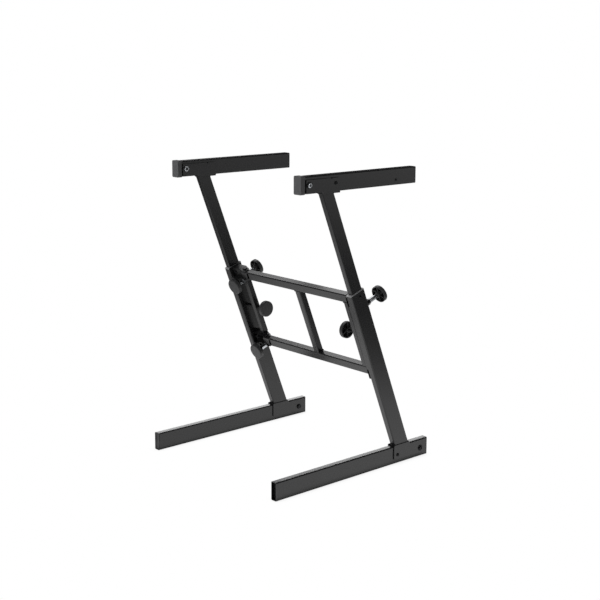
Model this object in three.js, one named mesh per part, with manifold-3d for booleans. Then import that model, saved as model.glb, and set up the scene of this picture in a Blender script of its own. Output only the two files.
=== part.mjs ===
// Folding keyboard stand, in millimetres.
// X runs across the stand, -Y is its front and +Z is up. The origin is on the floor under the middle.
// Each side frame is a level leg, a telescopic post that leans forward, and a level arm.
// Two rails, a brace and two uprights tie the side frames together.
// The left frame swings on the rails, and the legs and arms fold along their posts.
import * as THREE from 'three';
import { mergeVertices } from 'three/addons/utils/BufferGeometryUtils.js';
import Module from 'manifold-3d';

const wasm = await Module();
wasm.setup();

// ---------------------------------------------------------------- driving dimensions

const frameSpacing = 520; // between the middles of the side frames
const postLean = THREE.MathUtils.degToRad(21.4); // top of the posts towards the front
const armTopHeight = 826; // floor to the top of the arms, at the height shown
const postFromLegRear = 101; // rear of the leg to the post's axis, along the top of the leg

const tubeWall = 1.5;
const tubeCorner = 2.5; // outside corner radius of every steel tube
const plateThickness = 2.5; // cheeks of the leg and arm brackets
const webThickness = 3; // level webs of those brackets
const weldGap = 0.3; // left where two pieces meet
const slideGap = 0.3; // between pieces that move on one another
const boltClearance = 0.3; // round every bolt, pin and screw, on the radius

const legLength = 560;
const legWidth = 20;
const legHeight = 50;
const plugRim = 2.5; // visible edge of an end plug
const plugDepth = 14; // part of a plug inside its tube
const plugFit = 0.3; // each side, inside the tube
const plugDish = 1.6; // hollow in the face of a plug
const plugDishBorder = 3;

const outerWidth = 20;
const outerDepth = 50;
const outerTop = 488; // along the post, from the top of the leg
const innerWidth = 16;
const innerDepth = 38.5;
const innerInsertion = 215; // inside the outer post at the height shown
const indexHolePitch = 40;
const indexHoleCount = 7;
const indexHolesAbovePin = 4; // the others are below the pull pin
const indexHoleRadius = 4.2;
const indexHoleSides = 8;

const collarRim = 3.2;
const collarTongueLength = 20;
const collarTongueWidth = 12;
const collarScrewDrop = 12; // below the outer post's top
const collarScrewOffset = 4.5; // behind the post's axis
const collarScrewHeadRadius = 3.2;
const collarScrewShankRadius = 1.5;
const screwHeadHeight = 1.3;

const armLength = 413;
const armWidth = 26;
const armHeight = 45;
const armFrontReach = 95.8; // front of the arm to the post's axis, under the arm
const capWall = 1.2; // rubber cap over the arm's front end
const capEnd = 3;
const capLength = 13.5;
const capFit = 0.15;
const armScrewFromRear = 75.5;
const armScrewDrop = 31; // below the top of the arm
const armScrewRadius = 3;

const legCheekFront = 33.5; // ahead of the post's axis
const legCheekRear = 86; // behind it
const legCheekDrop = 37; // below the top of the leg
const legCheekShoulder = 2.5; // top of the cheek behind the web, below the top of the leg
const legWebRear = 29; // behind the post's axis
const legPivotReach = 71.5; // behind the post's axis
const legLockReach = 19; // ahead of it
const armCheekFront = 80; // ahead of the post's axis, under the arm
const armCheekRear = 35; // behind it
const armCheekHeight = 36; // above the underside of the arm
const armCheekShoulder = 1; // bottom of the cheek ahead of the web, above the underside of the arm
const armNotchReach = 12.5; // notch in the cheek's top, ahead of the lock bolt
const armNotchWidth = 4;
const armNotchDepth = 2.5;
const armWebFront = 22; // ahead of the post's axis
const armPivotReach = 70;
const armLockReach = 20; // behind the post's axis
const cheekCorner = 5;

const pivotBoltRadius = 5;
const pivotHeadRadius = 9;
const pivotHeadHeight = 4;
const lockBoltRadius = 3;
const lockHeadRadius = 5.5;
const lockHeadHeight = 3;

const railHeight = 25;
const railDepth = 20;
const railSetIn = 5; // front of the rails behind the front of the posts
const railPitch = 225;
const railNotch = [14, 22]; // in each rail's front wall, right of the hinge pin
const railNotchEdge = 4; // steel left above and below it
const braceOffset = 38; // right of the middle
const braceWidth = 20;
const rightUprightWidth = 20.5;
const leftUprightWidth = 18;
const joinPlateThickness = 4.4;
const joinPlateFoot = 9; // below the lower rail
const joinSlotLength = 25;
const joinSlotRise = 6; // slot's top above the middle of its rail
const joinSlotLeaf = 1.8; // steel left beside each slot

const hingeReach = 60; // right of the left post's inner face to the hinge pin
const hingePlate = 3;
const hingePinRadius = 4;
const hingeEyeRadius = 13;
const hingeHeadRadius = 6.5;
const hingeHeadHeight = 4;
const hingeFlangeBehind = 12; // flanges reach this far behind the post's middle
const leftUprightReach = 26; // post's inner face to the upright
const lockReach = 19; // post's inner face to the lock screw
const lockDrop = 35; // lock screw below the middle of its rail
const lockTabBelow = 14; // tab below the lock screw
const lockTabWidth = 32;
const lockSleeveRadius = 6;
const lockSleeveLength = 32;

const knobRadius = 23.5;
const knobThickness = 12;
const knobWall = 2.6;
const knobHubRadius = 7.5;
const knobHubLength = 6; // behind the disc
const knobRibCount = 6;
const knobRibThickness = 2;
const knobEdge = 2;
const knobSocketDepth = 10;
const screwRadius = 4;
const screwHoleRadius = screwRadius + boltClearance;
const lockKnobStandOff = 11; // middle of the lock knob's disc ahead of the post's front

const pullPinBelowTop = 47; // below the outer post's top
const pullKnobStandOff = 54.3; // middle of its disc behind the outer post's rear
const pullPinRadius = 3;
const barrelRadius = 6;
const barrelNutRadius = 9;
const barrelNutLength = 11;
const barrelLength = 36;
const clampBelowTop = 135;
const clampOffset = 4.5; // behind the post's axis
const clampReach = 88; // side frame's middle to the middle of the knob's disc

// ---------------------------------------------------------------- places worked out from them

const legFront = -legLength / 2;
const legRear = legFront + legLength;
const postFootY = legRear - postFromLegRear;
const armUnderside = armTopHeight - armHeight;
const postYUnderArm = postFootY - Math.tan(postLean) * (armUnderside - legHeight);
const armFront = postYUnderArm - armFrontReach;
const armRear = armFront + armLength;
const outerFront = -outerDepth / 2;
const outerRear = outerDepth / 2;
const postInnerFace = frameSpacing / 2 - outerWidth / 2;
const railMiddleV = outerFront + railSetIn + railDepth / 2;
const upperRailS = outerTop - railHeight / 2;
const lowerRailS = upperRailS - railPitch;
const hingeX = -(postInnerFace - hingeReach);
const railRightEnd = postInnerFace - 2 * weldGap - joinPlateThickness;
const railLeftEnd = hingeX - railDepth / 2;
const lockX = -(postInnerFace - lockReach);
const pullPinS = outerTop - pullPinBelowTop;
const clampS = outerTop - clampBelowTop;
const knobSides = 24;
const boltSides = 12;

// ---------------------------------------------------------------- materials

const paint = { color: 0x2b2b2c, roughness: 0.55, metalness: 0.35 };
const powderCoat = new THREE.MeshStandardMaterial(paint);
const zinc = new THREE.MeshStandardMaterial({ color: 0xb9bcc0, roughness: 0.35, metalness: 1 });
const chrome = new THREE.MeshStandardMaterial({ color: 0xd8dadc, roughness: 0.12, metalness: 1 });
const knobPlastic = new THREE.MeshStandardMaterial({ color: 0x2e2e2f, roughness: 0.6 });
const plugPlastic = new THREE.MeshStandardMaterial({ color: 0x232324, roughness: 0.7 });
const rubber = new THREE.MeshStandardMaterial({ color: 0x1f1f20, roughness: 0.9 });

// ---------------------------------------------------------------- shaping helpers

function toSolid(geometry) {
  const bare = geometry.clone();
  bare.deleteAttribute('normal');
  bare.deleteAttribute('uv');
  const merged = mergeVertices(bare, 1e-4);
  return new wasm.Manifold(new wasm.Mesh({
    numProp: 3,
    vertProperties: new Float32Array(merged.getAttribute('position').array),
    triVerts: new Uint32Array(merged.getIndex().array),
  }));
}

function toGeometry(solid) {
  const mesh = solid.getMesh();
  const geometry = new THREE.BufferGeometry();
  geometry.setAttribute('position', new THREE.BufferAttribute(mesh.vertProperties, mesh.numProp));
  geometry.setIndex(new THREE.BufferAttribute(mesh.triVerts, 1));
  return geometry;
}

function joined(pieces) {
  return toGeometry(pieces.map(toSolid).reduce((whole, piece) => whole.add(piece)));
}

function cut(piece, tools) {
  return toGeometry(tools.map(toSolid).reduce((whole, tool) => whole.subtract(tool), toSolid(piece)));
}

function box(x, y, z) {
  const geometry = new THREE.BoxGeometry(x[1] - x[0], y[1] - y[0], z[1] - z[0]);
  return geometry.translate((x[0] + x[1]) / 2, (y[0] + y[1]) / 2, (z[0] + z[1]) / 2);
}

// A cylinder along one axis, from one end to the other, with its middle on `at`.
function rod(axis, radius, ends, at, sides = boltSides) {
  const geometry = new THREE.CylinderGeometry(radius, radius, ends[1] - ends[0], sides);
  const middle = (ends[0] + ends[1]) / 2;
  if (axis === 'x') return geometry.rotateZ(Math.PI / 2).translate(middle, at[0], at[1]);
  if (axis === 'y') return geometry.translate(at[0], middle, at[1]);
  return geometry.rotateX(Math.PI / 2).translate(at[0], at[1], middle);
}

function roundedOutline(width, depth, corner) {
  const x = width / 2;
  const y = depth / 2;
  const r = Math.max(corner, 0.2);
  const shape = new THREE.Shape();
  shape.absarc(x - r, y - r, r, 0, Math.PI / 2);
  shape.absarc(r - x, y - r, r, Math.PI / 2, Math.PI);
  shape.absarc(r - x, r - y, r, Math.PI, 1.5 * Math.PI);
  shape.absarc(x - r, r - y, r, 1.5 * Math.PI, 2 * Math.PI);
  return shape;
}

// A bar with rounded corners, standing on z = 0.
function bar(width, depth, length, corner = tubeCorner) {
  const settings = { depth: length, bevelEnabled: false, curveSegments: 2 };
  return new THREE.ExtrudeGeometry(roundedOutline(width, depth, corner), settings);
}

function tube(width, depth, length) {
  const x = width / 2 - tubeWall;
  const y = depth / 2 - tubeWall;
  return cut(bar(width, depth, length), [box([-x, x], [-y, y], [-1, length + 1])]);
}

// Lays a piece that stands along Z down along X or Y, from `start`.
function alongX(geometry, start, y, z) {
  return geometry.rotateZ(Math.PI / 2).rotateY(Math.PI / 2).translate(start, y, z);
}

function alongY(geometry, start, x, z) {
  return geometry.rotateX(-Math.PI / 2).translate(x, start, z);
}

// A plate with the given corners in the YZ plane, each one rounded, between two X values.
function cheek(corners, x) {
  const points = corners.map(([y, z]) => new THREE.Vector2(y, z));
  const outline = new THREE.Shape();
  points.forEach((corner, i) => {
    const [before, after] = [points.at(i - 1), points.at((i + 1) % points.length)].map((next) => {
      return corner.clone().lerp(next, Math.min(0.45, cheekCorner / corner.distanceTo(next)));
    });
    if (i === 0) outline.moveTo(before.x, before.y);
    else outline.lineTo(before.x, before.y);
    outline.quadraticCurveTo(corner.x, corner.y, after.x, after.y);
  });
  const settings = { depth: x[1] - x[0], bevelEnabled: false, curveSegments: 3 };
  return alongX(new THREE.ExtrudeGeometry(outline, settings), x[0], 0, 0);
}

function endPlug(width, depth) {
  const span = (size, inset) => [inset - size / 2, size / 2 - inset];
  const block = (inset, z) => box(span(width, inset), span(depth, inset), z);
  const body = block(tubeWall + plugFit, [plugRim / 2, plugRim + plugDepth]);
  const rim = bar(width, depth, plugRim - weldGap);
  return cut(joined([body, rim]), [block(plugDishBorder, [-1, plugDish])]);
}

// A moulded disc knob about the Z axis: its face looks along +Z and its ribbed back along -Z.
// The middle of the disc is at z = 0, and the hub stands behind it.
function knob(socketRadius) {
  const face = knobThickness / 2;
  const back = -face;
  const floor = face - knobWall;
  const hubEnd = back - knobHubLength;
  const profile = [
    [0, hubEnd], [knobHubRadius, hubEnd], [knobHubRadius, floor],
    [knobRadius - knobWall, floor], [knobRadius - knobWall, back], [knobRadius - knobEdge / 2, back],
    [knobRadius, back + knobEdge], [knobRadius, face - knobEdge], [knobRadius - knobEdge, face], [0, face],
  ].map(([r, z]) => new THREE.Vector2(r, z));
  const disc = new THREE.LatheGeometry(profile, knobSides).rotateX(Math.PI / 2);
  const ribs = Array.from({ length: knobRibCount }, (_, i) => {
    const rib = box([knobHubRadius - 1, knobRadius - knobWall / 2],
      [-knobRibThickness / 2, knobRibThickness / 2], [back + 2, floor + 1]);
    return rib.rotateZ(2 * Math.PI * i / knobRibCount);
  });
  const whole = joined([disc, ...ribs]);
  if (!socketRadius) return whole;
  return cut(whole, [rod('z', socketRadius, [hubEnd - 1, hubEnd + knobSocketDepth], [0, 0])]);
}

// Two distances from a side frame's middle, on its outer side, as rising X values.
// The inner side is the outer side of -side.
const sided = (side, ends) => ends.map((x) => side * x).sort((a, b) => a - b);

// ---------------------------------------------------------------- scene graph helpers

const stand = new THREE.Group();

function add(parent, name, geometry, material) {
  const mesh = new THREE.Mesh(geometry, material);
  mesh.name = name;
  parent.add(mesh);
  return mesh;
}

// A group in line with the leaning posts: X across, Y behind the post's axis, Z along the post.
function leaning(x) {
  const group = new THREE.Group();
  group.position.set(x, postFootY, legHeight);
  group.rotation.x = postLean;
  stand.add(group);
  return group;
}

// A block between two real heights, in the coordinates of a leaning group.
function levelBlock(heights) {
  const across = 100;
  const deep = 400;
  const block = box([-across, across], [-deep, deep], heights.map((z) => z - legHeight));
  return block.rotateX(-postLean);
}

// ---------------------------------------------------------------- legs and arms, which stay level

function addLeg(side, name) {
  const x = side * frameSpacing / 2;
  const group = new THREE.Group();
  group.position.set(x, 0, 0);
  stand.add(group);
  const middle = legHeight / 2;
  const pivotY = postFootY + legPivotReach;
  const lockY = postFootY - legLockReach;
  const half = legWidth / 2;
  const cheekInside = half + slideGap;
  const cheekOutside = cheekInside + plateThickness;

  const tubeLength = legLength - 2 * plugRim;
  const steel = alongY(tube(legWidth, legHeight, tubeLength), legFront + plugRim, 0, middle);
  const pivotHole = rod('x', pivotBoltRadius + boltClearance, [-legWidth, legWidth], [pivotY, middle]);
  add(group, `${name}_leg`, cut(steel, [pivotHole]), powderCoat);
  const plug = endPlug(legWidth, legHeight);
  add(group, `${name}_leg_front_plug`, alongY(plug.clone(), legFront, 0, middle), plugPlastic);
  const rearPlug = plug.clone().rotateX(Math.PI / 2).translate(0, legRear, middle);
  add(group, `${name}_leg_rear_plug`, rearPlug, plugPlastic);

  const front = postFootY - legCheekFront;
  const rear = postFootY + legCheekRear;
  const webRear = postFootY + legWebRear;
  const bottom = legHeight - legCheekDrop;
  const shoulder = legHeight - legCheekShoulder;
  const webBottom = legHeight + slideGap;
  const webTop = webBottom + webThickness;
  const corners = [[front, bottom], [rear, bottom], [rear, shoulder],
    [webRear, shoulder], [webRear, webTop], [front, webTop]];
  const bracket = joined([
    cheek(corners, [cheekInside, cheekOutside]),
    cheek(corners, [-cheekOutside, -cheekInside]),
    box([-cheekInside - 1, cheekInside + 1], [front + cheekCorner, webRear - plateThickness],
      [webBottom, webTop]),
  ]);
  const lockSpan = sided(side, [half - 1, cheekOutside + 1]);
  add(group, `${name}_leg_bracket`, cut(bracket, [
    rod('x', pivotBoltRadius + boltClearance, [-cheekOutside - 1, cheekOutside + 1], [pivotY, middle]),
    rod('x', lockBoltRadius + boltClearance, lockSpan, [lockY, middle]),
  ]), powderCoat);
  addBracketBolts(group, `${name}_leg`, side, cheekInside, [pivotY, middle], [lockY, middle]);
}

// The through bolt that a leg or arm turns on, and the lock bolt's head on the outer cheek.
function addBracketBolts(group, name, side, cheekInside, pivot, lock) {
  const headStart = cheekInside + plateThickness + slideGap;
  add(group, `${name}_pivot_bolt`, joined([
    rod('x', pivotBoltRadius, [-headStart - 1, headStart + 1], pivot),
    rod('x', pivotHeadRadius, [headStart, headStart + pivotHeadHeight], pivot),
    rod('x', pivotHeadRadius, [-headStart - pivotHeadHeight, -headStart], pivot, 6),
  ]), zinc);
  add(group, `${name}_lock_bolt`, joined([
    rod('x', lockBoltRadius, sided(side, [cheekInside, headStart + 1]), lock),
    rod('x', lockHeadRadius, sided(side, [headStart, headStart + lockHeadHeight]), lock),
  ]), zinc);
}

function addArm(side, name) {
  const group = new THREE.Group();
  group.position.set(side * frameSpacing / 2, 0, 0);
  stand.add(group);
  const middle = armUnderside + armHeight / 2;
  const pivotY = postYUnderArm - armPivotReach;
  const lockY = postYUnderArm + armLockReach;
  const half = armWidth / 2;
  const cheekInside = half + capFit + capWall + slideGap;
  const cheekOutside = cheekInside + plateThickness;
  const screw = [armRear - armScrewFromRear, armTopHeight - armScrewDrop];

  const start = armFront + capEnd + weldGap;
  const tubeLength = armRear - plugRim - start;
  const steel = alongY(tube(armWidth, armHeight, tubeLength), start, 0, middle);
  const screwSpan = sided(side, [half - tubeWall - 1, half + 1]);
  add(group, `${name}_arm`, cut(steel, [
    rod('x', pivotBoltRadius + boltClearance, [-armWidth, armWidth], [pivotY, middle]),
    rod('x', collarScrewShankRadius + boltClearance, screwSpan, screw),
  ]), powderCoat);
  const rearPlug = endPlug(armWidth, armHeight).rotateX(Math.PI / 2).translate(0, armRear, middle);
  add(group, `${name}_arm_rear_plug`, rearPlug, plugPlastic);

  const capGrow = 2 * (capFit + capWall);
  const cap = bar(armWidth + capGrow, armHeight + capGrow, capLength, tubeCorner + capWall);
  const capBore = bar(armWidth + 2 * capFit, armHeight + 2 * capFit, capLength, tubeCorner);
  const capShell = cut(cap, [capBore.translate(0, 0, capEnd)]);
  add(group, `${name}_arm_front_cap`, alongY(capShell, armFront, 0, middle), rubber);

  add(group, `${name}_arm_screw`, joined([
    rod('x', collarScrewShankRadius, screwSpan, screw),
    rod('x', armScrewRadius, sided(side, [half + weldGap, half + weldGap + screwHeadHeight]), screw),
  ]), zinc);

  const front = postYUnderArm - armCheekFront;
  const rear = postYUnderArm + armCheekRear;
  const webFront = postYUnderArm - armWebFront;
  const top = armUnderside + armCheekHeight;
  const shoulder = armUnderside + armCheekShoulder;
  const webTop = armUnderside - slideGap;
  const webBottom = webTop - webThickness;
  const corners = [[front, shoulder], [webFront, shoulder], [webFront, webBottom],
    [rear, webBottom], [rear, top], [front, top]];
  const lockSpan = sided(side, [half - 1, cheekOutside + 1]);
  const notch = lockY - armNotchReach;
  const bracket = joined([
    cheek(corners, [cheekInside, cheekOutside]),
    cheek(corners, [-cheekOutside, -cheekInside]),
    box([-cheekInside - 1, cheekInside + 1], [webFront + plateThickness, rear - cheekCorner],
      [webBottom, webTop]),
  ]);
  add(group, `${name}_arm_bracket`, cut(bracket, [
    box([-cheekOutside - 1, cheekOutside + 1], [notch - armNotchWidth, notch],
      [top - armNotchDepth, top + 1]),
    rod('x', pivotBoltRadius + boltClearance, [-cheekOutside - 1, cheekOutside + 1], [pivotY, middle]),
    rod('x', lockBoltRadius + boltClearance, lockSpan, [lockY, middle]),
  ]), powderCoat);
  addBracketBolts(group, `${name}_arm`, side, cheekInside, [pivotY, middle], [lockY, middle]);
}

// ---------------------------------------------------------------- telescopic posts

function addPost(side, name) {
  const group = leaning(side * frameSpacing / 2);
  const legWebTop = legHeight + slideGap + webThickness;
  const armWebBottom = armUnderside - slideGap - webThickness;
  const pull = [0, pullPinS];
  const clamp = [clampOffset, clampS];
  const screw = [collarScrewOffset, outerTop - collarScrewDrop];

  const below = outerDepth;
  const wallSpan = [outerWidth / 4, outerWidth];
  const outerTube = tube(outerWidth, outerDepth, outerTop + below).translate(0, 0, -below);
  add(group, `${name}_outer_post`, cut(outerTube, [
    levelBlock([legWebTop + weldGap - 4 * below, legWebTop + weldGap]),
    rod('y', pullPinRadius + boltClearance, [0, outerDepth], pull),
    rod('x', screwHoleRadius, sided(-side, wallSpan), clamp),
    rod('x', collarScrewShankRadius + boltClearance, sided(side, wallSpan), screw),
  ]), powderCoat);

  const innerBottom = outerTop - innerInsertion;
  const innerTop = (armWebBottom - legHeight) / Math.cos(postLean) + innerDepth;
  const innerTube = tube(innerWidth, innerDepth, innerTop - innerBottom).translate(0, 0, innerBottom);
  const indexHoles = Array.from({ length: indexHoleCount }, (_, i) => {
    const s = pullPinS + (indexHolesAbovePin - i) * indexHolePitch;
    return rod('y', indexHoleRadius, [0, innerDepth], [0, s], indexHoleSides);
  });
  add(group, `${name}_inner_post`, cut(innerTube, [
    levelBlock([armWebBottom - weldGap, armWebBottom + 4 * innerDepth]),
    ...indexHoles,
  ]), powderCoat);

  const innerRoom = 2 * slideGap;
  const ring = cut(bar(outerWidth, outerDepth, collarRim), [
    bar(innerWidth + innerRoom, innerDepth + innerRoom, collarRim + 2).translate(0, 0, -1),
  ]).translate(0, 0, outerTop + weldGap);
  const tongueV = [innerDepth / 2 + slideGap, outerDepth / 2 - tubeWall - plugFit];
  const tongueX = [-collarTongueWidth / 2, collarTongueWidth / 2];
  const tongueZ = [outerTop - collarTongueLength, outerTop + weldGap + collarRim / 2];
  add(group, `${name}_post_collar`, joined([
    ring,
    box(tongueX, tongueV, tongueZ),
    box(tongueX, [-tongueV[1], -tongueV[0]], tongueZ),
  ]), plugPlastic);

  const half = outerWidth / 2;
  const head = half + weldGap;
  add(group, `${name}_collar_screw`, joined([
    rod('x', collarScrewShankRadius, sided(side, [half - tubeWall, head + 1]), screw),
    rod('x', collarScrewHeadRadius, sided(side, [head, head + screwHeadHeight]), screw),
  ]), zinc);

  addPullPin(group, name, pull);
  addClamp(group, name, side, clamp);
}

// The sprung pin that locks the height: a barrel on the rear wall, the plunger and its knob.
function addPullPin(group, name, at) {
  const start = outerRear + weldGap;
  const barrel = joined([
    rod('y', barrelNutRadius, [start, start + barrelNutLength], at, 6),
    rod('y', barrelRadius, [start, start + barrelLength], at),
  ]);
  const bore = rod('y', pullPinRadius + boltClearance, [start - 1, start + barrelLength + 1], at);
  add(group, `${name}_pin_barrel`, cut(barrel, [bore]), chrome);
  const discV = outerRear + pullKnobStandOff;
  const socketEnd = discV - knobThickness / 2 - knobHubLength + knobSocketDepth;
  const plunger = rod('y', pullPinRadius, [innerDepth / 2 + slideGap, socketEnd - slideGap], at);
  add(group, `${name}_pull_plunger`, plunger, chrome);
  const disc = knob(pullPinRadius + boltClearance).rotateX(-Math.PI / 2).translate(at[0], discV, at[1]);
  add(group, `${name}_pull_knob`, disc, knobPlastic);
}

// The long clamp screw on the inner side of the post, and its knob.
function addClamp(group, name, side, at) {
  const inward = -side;
  const socketEnd = clampReach - knobThickness / 2 - knobHubLength + knobSocketDepth;
  const reach = sided(inward, [innerWidth / 2 + slideGap, socketEnd - slideGap]);
  add(group, `${name}_clamp_screw`, rod('x', screwRadius, reach, at), zinc);
  const disc = knob(screwHoleRadius).rotateY(inward * Math.PI / 2);
  add(group, `${name}_clamp_knob`, disc.translate(inward * clampReach, at[0], at[1]), knobPlastic);
}

// ---------------------------------------------------------------- centre frame

const centre = leaning(0);

function addRail(name, s) {
  const length = railRightEnd - railLeftEnd;
  const rail = alongX(tube(railDepth, railHeight, length), railLeftEnd, railMiddleV, s);
  const front = railMiddleV - railDepth / 2;
  const notchRise = railHeight / 2 - railNotchEdge;
  add(centre, name, cut(rail, [
    rod('z', hingePinRadius + boltClearance, [s - railHeight, s + railHeight], [hingeX, railMiddleV]),
    box(railNotch.map((x) => hingeX + x), [front - 1, front + tubeWall + 1],
      [s - notchRise, s + notchRise]),
  ]), powderCoat);
}

function addStandingTube(name, x, width, depth, v) {
  const s = [lowerRailS + railHeight / 2 + weldGap, upperRailS - railHeight / 2 - weldGap];
  add(centre, name, tube(width, depth, s[1] - s[0]).translate(x, v, s[0]), powderCoat);
}

// The strip between the right upright and the right post, slotted below the middle of each rail.
function addJoinPlate() {
  const x = [railRightEnd + weldGap, postInnerFace - weldGap];
  const v = [railMiddleV - railDepth / 2, railMiddleV + railDepth / 2];
  const strip = box(x, v, [lowerRailS - railHeight / 2 - joinPlateFoot, outerTop]);
  const slots = [lowerRailS, upperRailS].map((s) => {
    const ends = [s + joinSlotRise - joinSlotLength, s + joinSlotRise];
    return box([x[0] + joinSlotLeaf, x[1] + 1], [v[0] - 1, v[1] + 1], ends);
  });
  add(centre, 'right_join_plate', cut(strip, slots), powderCoat);
}

// The bracket on the left post that a rail's end turns in: two eyes, a front web with the tab
// for the lock screw, and a base against the post.
function addHingeBracket(name, s) {
  const post = -postInnerFace + weldGap;
  const front = outerFront;
  const eyeInside = railHeight / 2 + slideGap;
  const eyeOutside = eyeInside + hingePlate;
  const webEnd = hingeX - Math.hypot(railDepth / 2, railDepth / 2) - slideGap - 2;
  const eye = new THREE.Shape();
  eye.moveTo(post, front);
  eye.lineTo(hingeX, railMiddleV - hingeEyeRadius);
  eye.absarc(hingeX, railMiddleV, hingeEyeRadius, -Math.PI / 2, Math.PI / 2);
  eye.lineTo(-postInnerFace + leftUprightReach + leftUprightWidth, hingeFlangeBehind);
  eye.lineTo(post, hingeFlangeBehind);
  const eyes = [s - eyeOutside, s + eyeInside].map((z) => {
    const settings = { depth: hingePlate, bevelEnabled: false, curveSegments: 6 };
    return new THREE.ExtrudeGeometry(eye, settings).translate(0, 0, z);
  });
  const tabFoot = s - lockDrop - lockTabBelow;
  const bracket = joined([
    ...eyes,
    box([post, post + hingePlate], [front, hingeFlangeBehind], [tabFoot, s + eyeOutside]),
    box([post, webEnd], [front, front + hingePlate], [s - eyeOutside, s + eyeOutside]),
    box([post, post + lockTabWidth], [front, front + hingePlate], [tabFoot, s]),
  ]);
  add(centre, `${name}_hinge_bracket`, cut(bracket, [
    rod('z', hingePinRadius + boltClearance, [s - railHeight, s + railHeight], [hingeX, railMiddleV]),
    rod('y', screwHoleRadius, [front - 1, front + hingePlate + 1], [lockX, s - lockDrop]),
  ]), powderCoat);

  const under = s - eyeOutside - slideGap;
  const over = s + eyeOutside + slideGap;
  const at = [hingeX, railMiddleV];
  add(centre, `${name}_hinge_pin`, joined([
    rod('z', hingePinRadius, [under - 1, over + 1], at),
    rod('z', hingeHeadRadius, [over, over + hingeHeadHeight], at),
    rod('z', hingeHeadRadius, [under - hingeHeadHeight, under], at, 6),
  ]), zinc);
}

// The lock screw below each hinge: a threaded sleeve behind the tab, and a knob with its screw.
function addHingeLock(name, s) {
  const at = [lockX, s - lockDrop];
  const sleeveStart = outerFront + hingePlate + weldGap;
  const sleeveEnds = [sleeveStart, sleeveStart + lockSleeveLength];
  const bore = rod('y', screwHoleRadius, [sleeveEnds[0] - 1, sleeveEnds[1] + 1], at);
  add(centre, `${name}_lock_sleeve`, cut(rod('y', lockSleeveRadius, sleeveEnds, at), [bore]), zinc);
  const discV = outerFront - lockKnobStandOff;
  const hubEnd = discV + knobThickness / 2 + knobHubLength;
  const disc = knob(0).rotateX(Math.PI / 2).translate(at[0], discV, at[1]);
  const hubTrim = box([at[0] - knobRadius, at[0] + knobRadius], [outerFront - slideGap, hubEnd + 1],
    [at[1] - knobRadius, at[1] + knobRadius]);
  const shank = rod('y', screwRadius, [discV, sleeveEnds[1] - slideGap], at);
  add(centre, `${name}_lock_knob`, joined([cut(disc, [hubTrim]), shank]), knobPlastic);
}

// The upright between the two hinge brackets. The left clamp screw passes through it.
function addLeftUpright() {
  const flange = railHeight / 2 + slideGap + hingePlate + weldGap;
  const ends = [lowerRailS + flange, upperRailS - flange];
  const half = leftUprightWidth / 2;
  const x = -postInnerFace + leftUprightReach + half;
  const upright = tube(leftUprightWidth, leftUprightWidth, ends[1] - ends[0]);
  add(centre, 'left_upright', cut(upright.translate(x, hingeFlangeBehind - half, ends[0]), [
    rod('x', screwHoleRadius, [x - half - 1, x + half + 1], [clampOffset, clampS]),
  ]), powderCoat);
}

// ---------------------------------------------------------------- assembly

[[1, 'right'], [-1, 'left']].forEach(([side, name]) => {
  addLeg(side, name);
  addPost(side, name);
  addArm(side, name);
});

addRail('upper_rail', upperRailS);
addRail('lower_rail', lowerRailS);
addStandingTube('mid_brace', braceOffset, braceWidth, railDepth, railMiddleV);
const rightUprightX = railRightEnd - rightUprightWidth / 2;
addStandingTube('right_upright', rightUprightX, rightUprightWidth, railDepth, railMiddleV);
addJoinPlate();
addHingeBracket('upper', upperRailS);
addHingeBracket('lower', lowerRailS);
addHingeLock('upper', upperRailS);
addHingeLock('lower', lowerRailS);
addLeftUpright();

export default stand;
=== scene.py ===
# Folding keyboard stand: its looks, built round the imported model.
# Blender works in metres, and the shapes here are made in millimetres and scaled when they are finished.
# X runs across the stand, -Y is its front and +Z is up. Along a post, Y runs behind it and Z up it.
import math

import bmesh
import bpy
from mathutils import Matrix, Vector


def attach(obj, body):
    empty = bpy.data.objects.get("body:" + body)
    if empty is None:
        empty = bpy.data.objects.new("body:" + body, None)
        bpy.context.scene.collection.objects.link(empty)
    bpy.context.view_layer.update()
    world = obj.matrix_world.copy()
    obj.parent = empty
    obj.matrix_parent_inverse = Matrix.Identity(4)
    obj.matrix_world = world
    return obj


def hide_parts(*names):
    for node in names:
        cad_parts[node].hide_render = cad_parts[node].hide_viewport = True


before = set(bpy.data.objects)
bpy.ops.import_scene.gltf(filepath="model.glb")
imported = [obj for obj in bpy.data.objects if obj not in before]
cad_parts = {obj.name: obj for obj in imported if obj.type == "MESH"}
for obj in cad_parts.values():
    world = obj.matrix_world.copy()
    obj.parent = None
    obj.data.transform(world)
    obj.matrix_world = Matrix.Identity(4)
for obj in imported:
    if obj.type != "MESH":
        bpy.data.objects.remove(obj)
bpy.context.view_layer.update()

SIDES = {"right": 1, "left": -1}
BASE = {"right": "centre_and_right_frame", "left": "left_frame"}
CENTRE = BASE["right"]


# ---------------------------------------------------------------- sizes of the stand, in millimetres

# The middle of each side's leg, post and arm, and how its post leans on the leg.
SIDE_X = 260
LEAN = math.radians(21.4)
POST_FOOT = (0, 179, 50)
LEANING = Matrix.Translation(POST_FOOT) @ Matrix.Rotation(LEAN, 4, "X")
BEHIND_POST = Vector((0, math.cos(LEAN), math.sin(LEAN)))

# Sections of the tubes. A rail's is its depth and its height, and the others start with the size across.
LEG_SECTION = (20, 50)
ARM_SECTION = (26, 45)
POST_SECTION = (20, 50)
INNER_SECTION = (16, 38.5)
RAIL_SECTION = (20, 25)

# Pieces that are welded or fitted together lie this far apart, as they do in the solids.
PLAY = 0.3

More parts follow.
